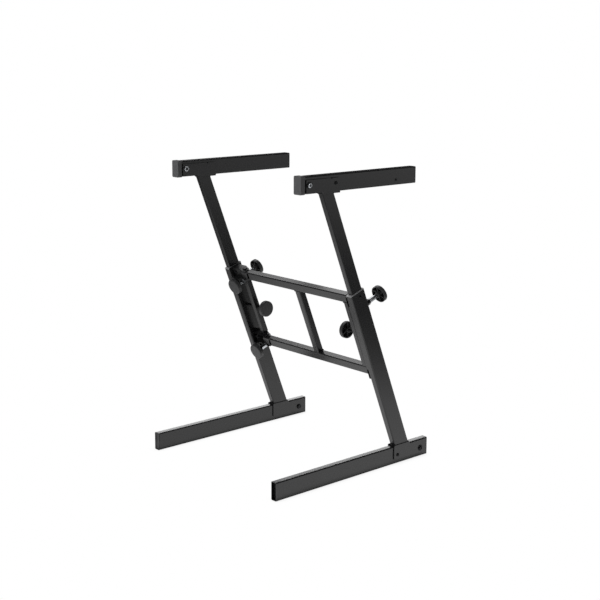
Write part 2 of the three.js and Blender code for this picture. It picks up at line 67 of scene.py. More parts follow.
# Legs and arms: their ends, their heights, and the webs of their brackets.
LEG_END = 280
ARM_FRONT, ARM_REAR = -203.28, 209.72
ARM_UNDER, ARM_TOP = 781.0, 826.0
LEG_WEB_TOP = 53.3
ARM_WEB_UNDER = 777.7
PLUG_RIM = 2.2
PLUG_SEAT = PLUG_RIM + PLAY
BOOT_FLOOR = 3
CHEEK = 2.5
LEG_CHEEK = 10.3
ARM_CHEEK = 14.65

# Where their bolts are, as Y and Z.
LEG_PIVOT, LEG_LOCK = (250.5, 25), (160, 25)
ARM_PIVOT, ARM_LOCK = (-177.5, 803.5), (-87.5, 803.5)

# Heights up a post, and places across the centre frame. The clamp's place is behind and up.
OUTER_TOP = 488.0
PIN_UP = 441.0
INDEX_PITCH = 40
CLAMP = (4.5, 353.0)
RAILS = {"upper": 475.5, "lower": 250.5}
RAIL_BEHIND = -10.0
RAIL_START, RAIL_END = -200, 245
RAIL_HALF = 12.5
UPRIGHTS = {"mid_brace": (38.0, 20.0), "right_upright": (234.75, 20.5)}
POST_FACE = SIDE_X - POST_SECTION[0] / 2 - PLAY
HINGE_X = -190.0
LOCK_X = -231
LOCK_DOWN = 35
EYE = 3
SCREW_HOLE = 4.3


# ---------------------------------------------------------------- camera

def set_camera():
    """The camera, solved from the edges of the tubes in the photograph."""
    turn, rise, roll = (math.radians(a) for a in (48.66, 9.68, 0.17))
    forward = Vector((-math.sin(turn) * math.cos(rise), math.cos(turn) * math.cos(rise), -math.sin(rise)))
    level = Vector((math.cos(turn), math.sin(turn), 0))
    upright = level.cross(forward)
    right = level * math.cos(roll) + upright * math.sin(roll)
    up = upright * math.cos(roll) - level * math.sin(roll)
    data = bpy.data.cameras.new("camera")
    data.sensor_width = 36
    data.lens = 72.383
    data.shift_y = -0.08667
    camera = bpy.data.objects.new("camera", data)
    place = Vector((2.50144, -2.16524, 1.15448))
    camera.matrix_world = Matrix.LocRotScale(place, Matrix((right, up, -forward)).transposed(), None)
    bpy.context.scene.collection.objects.link(camera)
    bpy.context.scene.camera = camera


set_camera()


# ---------------------------------------------------------------- materials

def linear(code):
    """An sRGB hex colour as a linear colour."""
    parts = [int(code[i:i + 2], 16) / 255 for i in (0, 2, 4)]
    return (*[c / 12.92 if c <= 0.04045 else ((c + 0.055) / 1.055) ** 2.4 for c in parts], 1)


def add_node(tree, kind, links=None, **settings):
    """Adds a node. A setting names a property or a socket; a link names a socket and what feeds it."""
    made = tree.nodes.new(kind)
    for key, value in settings.items():
        if hasattr(made, key):
            setattr(made, key, value)
        else:
            made.inputs[key.replace("_", " ")].default_value = value
    for key, source in (links or {}).items():
        tree.links.new(source, made.inputs[key])
    return made


def new_material(name):
    """A material with its tree, its shader and the piece's own coordinates."""
    material = bpy.data.materials.new(name)
    material.use_nodes = True
    tree = material.node_tree
    place = tree.nodes.new("ShaderNodeTexCoord").outputs["Object"]
    return material, tree, tree.nodes["Principled BSDF"], place


def powder_coat():
    """Satin black powder coat on steel: long soft highlights, broken by an orange peel of about 1 mm.

    Its tone drifts a little over some 70 mm.
    """
    material, tree, shader, place = new_material("satin_black_powder_coat")
    peels_per_metre, drifts_per_metre = 900, 14
    peel = add_node(tree, "ShaderNodeTexNoise", {"Vector": place}, Scale=peels_per_metre, Detail=2)
    blotch = add_node(tree, "ShaderNodeTexNoise", {"Vector": place}, Scale=drifts_per_metre, Detail=3)
    tone = add_node(tree, "ShaderNodeValToRGB", {"Fac": blotch.outputs["Fac"]})
    tone.color_ramp.elements[0].color = linear("131314")
    tone.color_ramp.elements[1].color = linear("1a1a1b")
    bump = add_node(tree, "ShaderNodeBump", {"Height": peel.outputs["Fac"]}, Strength=0.1, Distance=0.0002)
    tree.links.new(tone.outputs["Color"], shader.inputs["Base Color"])
    tree.links.new(bump.outputs["Normal"], shader.inputs["Normal"])
    shader.inputs["Roughness"].default_value = 0.26
    return material


def grained(name, dark, light, roughness, grain_size, metal=0.0, grazing="ffffff"):
    """A surface with a fine grain of that size in metres, in its tone, its roughness and its bump.

    Grazing is the tint of what it mirrors at a low angle; a dark one paints dark reflections along the
    edges.
    """
    material, tree, shader, place = new_material(name)
    grain = add_node(tree, "ShaderNodeTexNoise", {"Vector": place}, Scale=1 / grain_size, Detail=3)
    tone = add_node(tree, "ShaderNodeValToRGB", {"Fac": grain.outputs["Fac"]})
    tone.color_ramp.elements[0].color = linear(dark)
    tone.color_ramp.elements[1].color = linear(light)
    rough = add_node(tree, "ShaderNodeMapRange", {"Value": grain.outputs["Fac"]}, To_Min=roughness - 0.06,
                     To_Max=roughness + 0.06)
    bump = add_node(tree, "ShaderNodeBump", {"Height": grain.outputs["Fac"]}, Strength=0.1, Distance=0.0002)
    tree.links.new(tone.outputs["Color"], shader.inputs["Base Color"])
    tree.links.new(rough.outputs["Result"], shader.inputs["Roughness"])
    tree.links.new(bump.outputs["Normal"], shader.inputs["Normal"])
    shader.inputs["Metallic"].default_value = metal
    shader.inputs["Specular Tint"].default_value = linear(grazing)
    return material


# The grains are drawn coarser than the real ones, which are too fine to show at this distance.
MATERIALS = {
    "powder_coat": powder_coat(),
    # Zinc plate: pale grey nuts and bolt heads with bright, slightly blurred glints.
    "zinc": grained("bright_zinc_plate", "b4b8bd", "dcdfe2", 0.28, 0.004, metal=1.0),
    # Chrome plate: a light grey barrel, with a dark grazing tint that paints dark reflections along its
    # edges against a white background.
    "chrome": grained("chrome_plate", "b0b2b5", "c8cacd", 0.27, 0.01, metal=1.0, grazing="303030"),
    # Moulded nylon: dark grey knobs with a dull, even sheen.
    "knob_plastic": grained("moulded_black_nylon", "252526", "313132", 0.48, 0.0012),
    # Moulded polyethylene: plugs that are as dark as the tubes, and duller.
    "plug_plastic": grained("moulded_black_polyethylene", "161617", "1f1f20", 0.5, 0.0012),
    # Rubber: the arms' caps, dull and the palest of the blacks.
    "cap_rubber": grained("black_rubber", "404041", "4c4c4d", 0.55, 0.0008),
}
# Black oxide on steel: near-black screws and washers with a weak metallic sheen.
BLACK_OXIDE = grained("black_oxide_steel", "101011", "1c1c1e", 0.3, 0.003, metal=0.6)
# Oiled black oxide: small sharp glints on black heads.
GLOSS_OXIDE = grained("bright_black_oxide", "141416", "232326", 0.14, 0.003, metal=0.7)
# Grey acetal, painted paler than its own grey to stand in for the highlight along its rim: a pale line
# round the mouth of each outer post.
ACETAL_PAINTED_HIGHLIGHT = grained("grey_acetal_painted_highlight", "747475", "878788", 0.24, 0.003)
# Flat black paint: hinge brackets that are darker than the tubes beside them.
MATT_BLACK = grained("matt_black_paint", "0c0c0d", "131314", 0.42, 0.002)
# Weld beads under gloss black: fine glints in a row along each joint.
GLOSS_BEAD = grained("gloss_black_weld_bead", "0c0c0d", "161617", 0.2, 0.002)


# ---------------------------------------------------------------- shaping, in millimetres

def oblong(width, depth, rounding=0.0, steps=4):
    """A flat rectangle about the middle, with rounded corners."""
    bm = bmesh.new()
    size = Matrix.Diagonal((width, depth, 1, 1))
    bmesh.ops.create_grid(bm, x_segments=1, y_segments=1, size=0.5, matrix=size)
    return rounded(bm, rounding, steps)


def outline(corners, rounding=0.0, steps=4):
    """A flat face with those corners."""
    bm = bmesh.new()
    bm.faces.new([bm.verts.new((x, y, 0)) for x, y in corners])
    return rounded(bm, rounding, steps)


def rounded(bm, rounding, steps):
    """Rounds the corners of a flat face."""
    if rounding:
        bmesh.ops.bevel(bm, geom=bm.verts[:], offset=rounding, affect="VERTICES", segments=steps,
                        profile=0.5, material=-1, clamp_overlap=True)
    return bm


def raised(bm, height):
    """Extrudes flat faces to a closed solid of that height along Z."""
    made = bmesh.ops.extrude_face_region(bm, geom=bm.faces[:])
    tops = [part for part in made["geom"] if isinstance(part, bmesh.types.BMVert)]
    bmesh.ops.translate(bm, verts=tops, vec=(0, 0, height))
    bmesh.ops.recalc_face_normals(bm, faces=bm.faces[:])
    return bm


def tube(width, depth, length, corner=3.2, wall=1.5):
    """A box-section tube along Z."""
    bm = oblong(width, depth, corner, steps=6)
    inside = bm.faces[:]
    bmesh.ops.inset_region(bm, faces=inside, thickness=wall, use_boundary=True, use_even_offset=True)
    bmesh.ops.delete(bm, geom=inside, context="FACES_ONLY")
    return raised(bm, length)


def block(low, high):
    """A box between two corners."""
    bm = bmesh.new()
    size = Vector(high) - Vector(low)
    middle = (Vector(low) + Vector(high)) / 2
    bmesh.ops.create_cube(bm, size=1, matrix=Matrix.Translation(middle) @ Matrix.Diagonal((*size, 1)))
    return bm


def prism(sides, radius, height):
    """A bar of that many sides along Z, from the origin up."""
    bm = bmesh.new()
    bmesh.ops.create_circle(bm, cap_ends=True, segments=sides, radius=radius)
    return raised(bm, height)


def arc(radius, height, size, start, end, steps=5):
    """Points of a profile on a round about (radius, height), between two angles."""
    angles = [math.radians(start + (end - start) * i / steps) for i in range(steps + 1)]
    return [(radius + size * math.cos(a), height + size * math.sin(a)) for a in angles]


def turned(profile, steps=40):
    """A shape turned about Z from (radius, height) points."""
    bm = bmesh.new()
    points = [bm.verts.new((r, 0, z)) for r, z in profile]
    lines = [bm.edges.new(pair) for pair in zip(points, points[1:])]
    bmesh.ops.spin(bm, geom=points + lines, cent=(0, 0, 0), axis=(0, 0, 1), angle=2 * math.pi, steps=steps,
                   use_merge=True)
    bmesh.ops.remove_doubles(bm, verts=bm.verts[:], dist=1e-4)
    bmesh.ops.recalc_face_normals(bm, faces=bm.faces[:])
    return bm


def together(*shapes):
    """Several shapes in one mesh."""
    whole = bmesh.new()
    for shape in shapes:
        held = bpy.data.meshes.new("held")
        shape.to_mesh(held)
        shape.free()
        whole.from_mesh(held)
        bpy.data.meshes.remove(held)
    return whole


def carve(shape, tool, operation="DIFFERENCE"):
    """One shape cut by another, or joined to it."""
    held = []
    for bm in (shape, tool):
        mesh = bpy.data.meshes.new("held")
        bm.to_mesh(mesh)
        bm.free()
        held.append(bpy.data.objects.new("held", mesh))
        bpy.context.scene.collection.objects.link(held[-1])
    cutting = held[0].modifiers.new("carve", "BOOLEAN")
    cutting.object = held[1]
    cutting.operation = operation
    cutting.solver = "EXACT"
    cutting.use_self = True
    result = bmesh.new()
    result.from_mesh(held[0].evaluated_get(bpy.context.evaluated_depsgraph_get()).to_mesh())
    for part in held:
        mesh = part.data
        bpy.data.objects.remove(part)
        bpy.data.meshes.remove(mesh)
    return result


def moved(bm, matrix):
    """Moves, turns or scales a shape."""
    bmesh.ops.transform(bm, matrix=matrix, verts=bm.verts[:])
    return bm


def shifted(bm, x, y, z):
    """Moves a shape along the axes."""
    return moved(bm, Matrix.Translation((x, y, z)))


def leaning(bm):
    """Puts a shape made along a post at the origin into the stand's own axes."""
    return moved(bm, LEANING)


def facing(place, direction):
    """Puts a shape made about Z at a place, with +Z turned to a direction."""
    return Matrix.Translation(place) @ Vector(direction).to_track_quat("Z", "X").to_matrix().to_4x4()


def on_post(x, behind, up):
    """A place given along a post, in the stand's own axes."""
    return LEANING @ Vector((x, behind, up))


def drill(radius, start, direction, length):
    """A round bar that cuts a hole."""
    return moved(prism(28, radius, length), facing(start, direction))


def piece(bm, name, body, slot, *replaced, material=None, edge=0.0):
    """Makes a finished piece that rides on a body, with its edges eased by a small radius."""
    moved(bm, Matrix.Scale(0.001, 4))
    mesh = bpy.data.meshes.new(name)
    bm.to_mesh(mesh)
    bm.free()
    mesh.materials.append(material or MATERIALS[slot])
    mesh.shade_smooth()
    made = bpy.data.objects.new(name, mesh)
    bpy.context.scene.collection.objects.link(made)
    if edge:
        ease = made.modifiers.new("eased_edges", "BEVEL")
        ease.width = edge * 0.001
        ease.segments = 2
        ease.limit_method = "ANGLE"
        ease.angle_limit = math.radians(40)
        ease.harden_normals = True
    else:
        mesh.set_sharp_from_angle(angle=math.radians(35))
        made.modifiers.new("flat_faces", "WEIGHTED_NORMAL").keep_sharp = True
    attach(made, body)
    if replaced:
        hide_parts(*replaced)
    return made


# ---------------------------------------------------------------- legs and arms

def lying(bm, x, start, middle):
    """Lays a shape that stands on Z down along +Y from a start, at a middle height."""
    return moved(bm, Matrix.Translation((x, start, middle)) @ Matrix.Rotation(-math.pi / 2, 4, "X"))


def turned_round(bm):
    """Turns a shape that stands on Z to hang below it."""
    return moved(bm, Matrix.Rotation(math.pi, 4, "X"))


def end_plug(width, depth):
    """A moulded plug: an eased rim round a shallow dish, and the stem that fills the tube."""
    lip, slope, dish = 2.6, 0.7, 1.4
    bm = raised(oblong(width, depth, 2.8), PLUG_RIM)
    face = min(bm.faces, key=lambda f: f.calc_center_median().z)
    for ring in (lip, slope):
        bmesh.ops.inset_region(bm, faces=[face], thickness=ring, use_even_offset=True)
    bmesh.ops.translate(bm, verts=face.verts[:], vec=(0, 0, dish))
    stem = raised(oblong(width - 3.6, depth - 3.6, 1.2), 14)
    return together(bm, shifted(stem, 0, 0, PLUG_RIM))


def leg(name, side):
    """A leg. The right one's front plug is pushed in, so that its mouth shows as a dark hollow."""
    x, middle = side * SIDE_X, LEG_SECTION[1] / 2
    body = f"{name}_leg_tube"
    sunk = 9 if name == "right" else 0
    mouth = -LEG_END if sunk else PLUG_SEAT - LEG_END
    length = LEG_END - PLUG_SEAT - mouth
    piece(lying(tube(*LEG_SECTION, length), x, mouth, middle), f"{name}_leg_steel", body, "powder_coat",
          f"{name}_leg")
    narrowed = 3.4 if sunk else 0
    front = end_plug(LEG_SECTION[0] - narrowed, LEG_SECTION[1] - narrowed)
    piece(lying(front, x, sunk - LEG_END, middle), f"{name}_leg_front_cap", body, "plug_plastic",
          f"{name}_leg_front_plug", edge=0.5)
    rear = turned_round(end_plug(*LEG_SECTION))
    piece(lying(rear, x, LEG_END, middle), f"{name}_leg_rear_cap", body, "plug_plastic",
          f"{name}_leg_rear_plug", edge=0.5)


def rubber_boot(width, depth):
    """A cap that is drawn over an arm's end, with its outer rim rounded."""
    boot = raised(oblong(width + 2.6, depth + 2.6, 3.8, steps=5), 13.4)
    rim = [e for e in boot.edges if all(v.co.z < 0.01 for v in e.verts)]
    bmesh.ops.bevel(boot, geom=rim, offset=1.4, affect="EDGES", segments=3, profile=0.5, material=-1)
    hollow = raised(oblong(width + PLAY, depth + PLAY, 2.8), 20)
    return carve(boot, shifted(hollow, 0, 0, BOOT_FLOOR))


def arm(name, side):
    """An arm, with a rubber boot over its front end and a plug in its rear end."""
    x, middle = side * SIDE_X, (ARM_UNDER + ARM_TOP) / 2
    body = f"{name}_support_arm"
    start = ARM_FRONT + BOOT_FLOOR + PLAY
    length = ARM_REAR - PLUG_SEAT - start
    piece(lying(tube(*ARM_SECTION, length), x, start, middle), f"{name}_arm_steel", body, "powder_coat",
          f"{name}_arm")
    rear = turned_round(end_plug(*ARM_SECTION))
    piece(lying(rear, x, ARM_REAR, middle), f"{name}_arm_rear_cap", body, "plug_plastic",
          f"{name}_arm_rear_plug", edge=0.5)
    boot = rubber_boot(*ARM_SECTION)
    piece(lying(boot, x, ARM_FRONT, middle), f"{name}_arm_rubber_cap", body, "cap_rubber",
          f"{name}_arm_front_cap")


def bracket(name, body, side, inside, corners, web, pivot, notch=None):
    """Two cheeks beside a leg or an arm, with the pivot's hole, and the level web that joins them.

    The corners are the cheek seen from the side. A web or a notch is its front, rear, underside and top.
    """
    upright = Matrix.Rotation(math.pi / 2, 4, "Z") @ Matrix.Rotation(math.pi / 2, 4, "X")
    cheeks = together(*[shifted(moved(raised(outline(corners, 4.0), CHEEK), upright), start, 0, 0)
                        for start in (inside, -inside - CHEEK)])
    front, rear, under, top = web
    whole = carve(cheeks, block((-inside - 1, front, under), (inside + 1, rear, top)), "UNION")
    tools = [moved(shifted(prism(24, 5.3, 60), 0, 0, -30), facing((0, *pivot), (1, 0, 0)))]
    if notch:
        front, rear, under, top = notch
        tools.append(block((-30, front, under), (30, rear, top)))
    whole = shifted(carve(whole, together(*tools)), side * SIDE_X, 0, 0)
    piece(whole, f"{name}_bracket_steel", body, "powder_coat", f"{name}_bracket", edge=0.9)


for name, side in SIDES.items():
    leg(name, side)
    arm(name, side)
    bracket(f"{name}_leg", BASE[name], side, LEG_CHEEK,
            [(145.5, 13), (265, 13), (265, 47.5), (208, 47.5), (208, LEG_WEB_TOP), (145.5, LEG_WEB_TOP)],
            web=(149.5, 205.5, LEG_WEB_TOP - 3, LEG_WEB_TOP), pivot=LEG_PIVOT)
    bracket(f"{name}_arm", f"{name}_upper_post", side, ARM_CHEEK,
            [(-187.5, 782), (-129.5, 782), (-129.5, ARM_WEB_UNDER), (-72.5, ARM_WEB_UNDER), (-72.5, 817),
             (-187.5, 817)],
            web=(-127, -76.5, ARM_WEB_UNDER, ARM_WEB_UNDER + 3), pivot=ARM_PIVOT,
            notch=(-104, -100, 814.5, 820))


# ---------------------------------------------------------------- bolts and screws

def dome_bolt(radius, height, socket, depth):
    """A button head with a hexagon socket. Its underside is at zero."""
    dome = arc(radius - height * 0.75, height * 0.25, height * 0.75, 0, 90, 6)
    head = turned([(0, 0), (radius, 0), *dome, (0, height)])
    return carve(head, shifted(prism(6, socket, depth + 1), 0, 0, height - depth))


def washer(outer, inner, height):
    """A flat washer with its upper rim eased."""
    return turned([(inner, 0), (outer, 0), (outer, height * 0.6), (outer - height * 0.4, height),
                   (inner, height), (inner, 0)])


def lock_nut(radius, height, bore):
    """A hexagon nut with its ring for the nylon insert on the far side."""
    flank = radius * 0.78
    rim = arc(flank - 1, height * 0.3 - 1, 1, 0, 90, 3)
    ring = turned([(0, 0), (flank, 0), *rim, (0, height * 0.3)])
    nut = carve(prism(6, radius, height * 0.72), shifted(ring, 0, 0, height * 0.7), "UNION")
    return carve(nut, shifted(prism(20, bore, height * 0.5), 0, 0, height * 0.6))


PIVOT_HEAD = dome_bolt(radius=6.6, height=3.3, socket=3.5, depth=2.8)
PIVOT_NUT = lock_nut(radius=7.8, height=3.9, bore=4.2)
LOCK_HEAD = dome_bolt(radius=4.8, height=2.7, socket=1.9, depth=1.4)


def pivot_bolt(name, body, side, start, at, material=None):
    """The bolt that a leg or an arm turns on: a head in a washer outside, and a lock nut inside.

    The washer's piece has a black plug in the bottom of the head's socket, which is painted shade, and the
    bolt's tip in the nut.
    """
    place = Vector((side * SIDE_X, *at))
    out = facing(place + Vector((side * start, 0, 0)), (side, 0, 0))
    back = facing(place - Vector((side * start, 0, 0)), (-side, 0, 0))
    shank = moved(shifted(prism(24, 4.9, 2 * start), 0, 0, -start), facing(place, (1, 0, 0)))
    head = moved(shifted(PIVOT_HEAD.copy(), 0, 0, 0.8), out)
    piece(together(head, shank), f"{name}_pivot_bolt_head", body, "zinc",
          f"{name}_pivot_bolt", material=material)
    ring = moved(washer(outer=8.9, inner=5.0, height=0.9), out)
    # Painted shade: a black plug in the bottom of the head's socket.
    floor = moved(shifted(prism(6, 3.4, 1.4), 0, 0, 1.2), out)
    tip = moved(shifted(prism(24, 4.1, 1.6), 0, 0, 1.6), back)
    piece(together(ring, floor, tip), f"{name}_pivot_bolt_washer_and_socket_shade", body, "zinc", material=BLACK_OXIDE)
    piece(moved(PIVOT_NUT.copy(), back), f"{name}_pivot_bolt_nut", body, "zinc", material=material)


def lock_bolt(name, body, side, start, at):
    """A smaller bolt, in the outer cheek alone."""
    shape = together(shifted(prism(24, 2.9, 3), 0, 0, -2.8), LOCK_HEAD.copy())
    place = facing((side * (SIDE_X + start), *at), (side, 0, 0))
    piece(moved(shape, place), f"{name}_lock_bolt_head", body, "zinc",
          f"{name}_lock_bolt", material=BLACK_OXIDE)


def small_screw(name, body, side, radius, place):
    """A pan-head screw with a cross recess, on the outer side."""
    rim = arc(radius - 1, 0.3, 1, 0, 90, 4)[1:]
    head = turned([(0, 0), (radius, 0), (radius, 0.3), *rim, (0, 1.3)], 28)
    long = 0.62 * radius
    cross = together(block((-0.5, -long, 0.6), (0.5, long, 2)), block((-long, -0.5, 0.6), (long, 0.5, 2)))
    shape = together(shifted(prism(16, 1.4, 2), 0, 0, -1.8), carve(head, cross))
    spun = facing(place, (side, 0, 0)) @ Matrix.Rotation(0.4, 4, "Z")
    piece(moved(shape, spun), f"{name}_head", body, "zinc", name, material=GLOSS_OXIDE)


for name, side in SIDES.items():
    on_leg, on_arm = (cheek + CHEEK + PLAY for cheek in (LEG_CHEEK, ARM_CHEEK))
    upper = f"{name}_upper_post"
    # The legs' and the arms' pivot bolts are the same bolts, painted as lit and shaded copies: zinc on the
    # arms, glossy black on the legs.
    pivot_bolt(f"{name}_leg", BASE[name], side, on_leg, LEG_PIVOT, GLOSS_OXIDE)
    pivot_bolt(f"{name}_arm", upper, side, on_arm, ARM_PIVOT)
    lock_bolt(f"{name}_leg", BASE[name], side, on_leg, LEG_LOCK)
    lock_bolt(f"{name}_arm", upper, side, on_arm, ARM_LOCK)
    small_screw(f"{name}_arm_screw", f"{name}_support_arm", side, 3.6, (side * 273.3, 134.2, 795))
    small_screw(f"{name}_collar_screw", BASE[name], side, 3.9, on_post(side * 270.3, 4.5, 476))


# ---------------------------------------------------------------- posts and centre frame

def trimmed(bm, height, keep):
    """Trims a leaning tube along a level plane, and closes its mouth. Keep is 1 above it, -1 below it."""
    cut = bmesh.ops.bisect_plane(bm, geom=bm.verts[:] + bm.edges[:] + bm.faces[:], plane_co=(0, 0, height),
                                 plane_no=(0, 0, keep), clear_inner=True)
    rim = [part for part in cut["geom_cut"] if isinstance(part, bmesh.types.BMEdge)]
    bmesh.ops.bridge_loops(bm, edges=rim)
    bmesh.ops.recalc_face_normals(bm, faces=bm.faces[:])
    return bm


def outer_post(name, x, inward):
    """The welded post, with the hole for its clamp, trimmed level on the leg bracket's web."""
    spare = 50
    tube_up = shifted(tube(*POST_SECTION, OUTER_TOP + spare), 0, 0, -spare)
    tube_up = carve(tube_up, drill(SCREW_HOLE, (0, *CLAMP), inward, 20))
    tube_up = trimmed(leaning(shifted(tube_up, x, 0, 0)), LEG_WEB_TOP + PLAY, 1)
    piece(tube_up, f"{name}_outer_steel", BASE[name], "powder_coat", f"{name}_outer_post")


def inner_post(name, x):
    """The smaller post that slides in the outer one, with its row of index holes behind."""
    tube_up = shifted(tube(*INNER_SECTION, 550, corner=2.4), 0, 0, OUTER_TOP - 215)
    index = together(*[drill(4.2, (0, 5, PIN_UP + INDEX_PITCH * i), (0, 1, 0), 30) for i in range(-2, 5)])
    tube_up = trimmed(leaning(shifted(carve(tube_up, index), x, 0, 0)), ARM_WEB_UNDER - PLAY, -1)
    piece(tube_up, f"{name}_inner_steel", f"{name}_upper_post", "powder_coat", f"{name}_inner_post")


def collar_bush(name, x):
    """The stepped bush in the outer post's mouth, with a tongue before and behind the inner post."""
    step = shifted(raised(oblong(18.4, 43.5, 2.6), 1.1), 0, 0, 2.1)
    bush = carve(raised(oblong(*POST_SECTION, 2.8), 2.2), step, "UNION")
    bush = carve(bush, shifted(raised(oblong(16.6, 39.1, 2.4), 8), 0, 0, -2))
    tongues = together(block((-6, 19.55, -20), (6, 23, 1)), block((-6, -23, -20), (6, -19.55, 1)))
    bush = shifted(carve(bush, tongues, "UNION"), x, 0, OUTER_TOP + PLAY)
    piece(leaning(bush), f"{name}_collar_bush", BASE[name], "plug_plastic", f"{name}_post_collar",
          material=ACETAL_PAINTED_HIGHLIGHT, edge=0.45)


def rail(name, up):
    """A rail across the stand, with a slot in its front near the hinge."""
    lengthwise = Matrix.Rotation(math.pi / 2, 4, "Y") @ Matrix.Rotation(math.pi / 2, 4, "Z")
    bar = moved(tube(*RAIL_SECTION, RAIL_END - RAIL_START), lengthwise)
    slot = block((-176, -25, up - 8.5), (-168, -17, up + 8.5))
    bar = carve(shifted(bar, RAIL_START, RAIL_BEHIND, up), slot)
    piece(leaning(bar), f"{name}_rail_steel", CENTRE, "powder_coat", f"{name}_rail")


def uprights():
    """The brace and the upright between the rails, and the upright between the hinge brackets."""
    low = RAILS["lower"] + RAIL_HALF + PLAY
    high = RAILS["upper"] - RAIL_HALF - PLAY
    for name, (x, width) in UPRIGHTS.items():
        upright = shifted(tube(width, 20, high - low), x, RAIL_BEHIND, low)
        piece(leaning(upright), f"{name}_steel", CENTRE, "powder_coat", name)
    clear = EYE + PLAY
    upright = shifted(tube(16, 18, high - low - 2 * clear, corner=2.4), -216, 3, low + clear)
    upright = carve(upright, drill(SCREW_HOLE, (-230, *CLAMP), (1, 0, 0), 30))
    piece(leaning(upright), "left_upright_steel", "left_frame", "powder_coat", "left_upright")


def join_strip():
    """The slotted strip beside the right post. Its front laps over the post's rounded corner."""
    foot = 229
    plate = block((RAIL_END + PLAY, -25, foot), (POST_FACE, 0, OUTER_TOP))
    strip = carve(plate, block((249, -25, foot), (254, -22, OUTER_TOP)), "UNION")
    slots = together(*[block((246, -30, up - 18), (251.6, 10, up + 8)) for up in RAILS.values()])
    piece(leaning(carve(strip, slots)), "right_join_strip", CENTRE, "powder_coat",
          "right_join_plate", edge=0.4)


def hinge_bracket(name, up):
    """Two eyes round a rail's end, a base against the post, a web between the eyes, and the lock's tab.

    A rivet goes through the eyes and the rail, and a small bolt sits in the web.
    """
    base_x = -POST_FACE
    near = RAIL_HALF + PLAY
    far = near + EYE
    tongue = arc(HINGE_X, RAIL_BEHIND, 11, -100, 90, 16)
    eye = [(base_x, -14), (-212, -15), *tongue, (-206, 8), (base_x, 8)]
    eyes = together(*[shifted(raised(outline(eye), EYE), 0, 0, start) for start in (up - far, up + near)])
    base = block((base_x, -25, up - 49), (base_x + 3, 12, up + far))
    tab = block((base_x, -25, up - 49), (-217.7, -22, up - near))
    web = block((base_x, -13, up - far), (-206.5, -10, up + far))
    whole = carve(carve(eyes, base, "UNION"), together(tab, web), "UNION")
    holes = together(drill(SCREW_HOLE, (HINGE_X, RAIL_BEHIND, up - 30), (0, 0, 1), 60),
                     drill(SCREW_HOLE, (LOCK_X, -40, up - LOCK_DOWN), (0, 1, 0), 30))
    piece(leaning(carve(whole, holes)), f"{name}_hinge_steel", "left_frame", "powder_coat",
          f"{name}_hinge_bracket", material=MATT_BLACK, edge=0.35)
    head = [(6.5, 0), (6.5, 1.2), *arc(3.7, 1.2, 2.8, 0, 90, 6)[1:], (0, 4.0)]
    rivet = together(shifted(turned([(0, -32), (3.95, -32), (3.95, 0), *head]), 0, 0, 16.1),
                     shifted(prism(6, 6.5, 4), 0, 0, -20.1))
    piece(leaning(shifted(rivet, HINGE_X, RAIL_BEHIND, up)), f"{name}_hinge_rivet", "left_frame", "zinc",
          f"{name}_hinge_pin", material=GLOSS_OXIDE, edge=0.3)
    bolt = moved(LOCK_HEAD.copy(), facing((-236, -13.1, up + 1), (0, -1, 0)))
    piece(leaning(bolt), f"{name}_hinge_bolt", "left_frame", "zinc", material=GLOSS_OXIDE)


for name, side in SIDES.items():
    outer_post(name, side * SIDE_X, (-side, 0, 0))
    inner_post(name, side * SIDE_X)
    collar_bush(name, side * SIDE_X)
for name, up in RAILS.items():
    rail(name, up)
    hinge_bracket(name, up)
uprights()
join_strip()


# ---------------------------------------------------------------- knobs, screws and pins

def knob(hub_end, socket=0.0):
    """A moulded disc knob: a crowned face to +Z, a rolled rim, and a ribbed hollow round the hub behind."""
    face = [(0, 6.0), (10, 5.9), (18, 5.6), *arc(21.0, 3.1, 2.5, 90, 0, 5)]
    rim = [(23.5, -4.8), *arc(22.5, -5.0, 1.0, 0, -90, 3), (21.4, -6), (20.9, -5.6)]
    back = [(20.6, 2.4), *arc(19.6, 2.4, 1.0, 0, 90, 3), (8.6, 3.4), (0, 3.4)]
    bore = [(socket, 4)] if socket else []
    hub = turned([(socket, 4), (7.8, 4), (7.3, hub_end + 0.6), (6.7, hub_end), (socket, hub_end), *bore])
    count = 6
    ribs = [moved(block((6.5, -0.9, -4.6), (21.2, 0.9, 4.0)), Matrix.Rotation(math.tau * i / count, 4, "Z"))
            for i in range(count)]
    return together(turned(face + rim + back, 56), hub, *ribs)


def threaded(radius, length):
    """A screw's shank. Its thread is rings of the real pitch."""
    pitch = 1.25
    profile = [(0, 0), (radius - 0.7, 0)]
    for i in range(int(length / pitch)):
        profile += [(radius, (i + 0.35) * pitch), (radius, (i + 0.55) * pitch)]
        profile.append((radius - 0.65, (i + 0.9) * pitch))
    return turned(profile + [(radius - 0.7, length), (0, length)], 24)


def pull_pin(name, x):
    """A black nut against the post, a chromed barrel, the plunger and its knob."""
    bore = 3.4
    seat = facing(on_post(x, 25.4, PIN_UP), BEHIND_POST)
    nut = carve(prism(6, 9, 10.6), shifted(prism(24, bore, 20), 0, 0, -1))
    barrel = turned([(bore, 10.8), (6.4, 10.8), (6.4, 13), (5.7, 13.5), (5.7, 15), (6.1, 15.6), (6.1, 33.5),
                     (5.3, 35.6), (bore, 35.6), (bore, 10.8)])
    piece(moved(nut, seat), f"{name}_barrel_nut", BASE[name], "chrome", material=BLACK_OXIDE, edge=0.6)
    piece(moved(barrel, seat), f"{name}_barrel", BASE[name], "chrome", f"{name}_pin_barrel")
    plunger = moved(prism(28, 3.0, 57.0), facing(on_post(x, 19.7, PIN_UP), BEHIND_POST))
    piece(plunger, f"{name}_plunger", f"{name}_pull_pin", "chrome", f"{name}_pull_plunger", edge=0.4)
    disc = moved(knob(-12, bore), facing(on_post(x, 79.3, PIN_UP), BEHIND_POST))
    piece(disc, f"{name}_pull_disc", f"{name}_pull_pin", "knob_plastic", f"{name}_pull_knob")


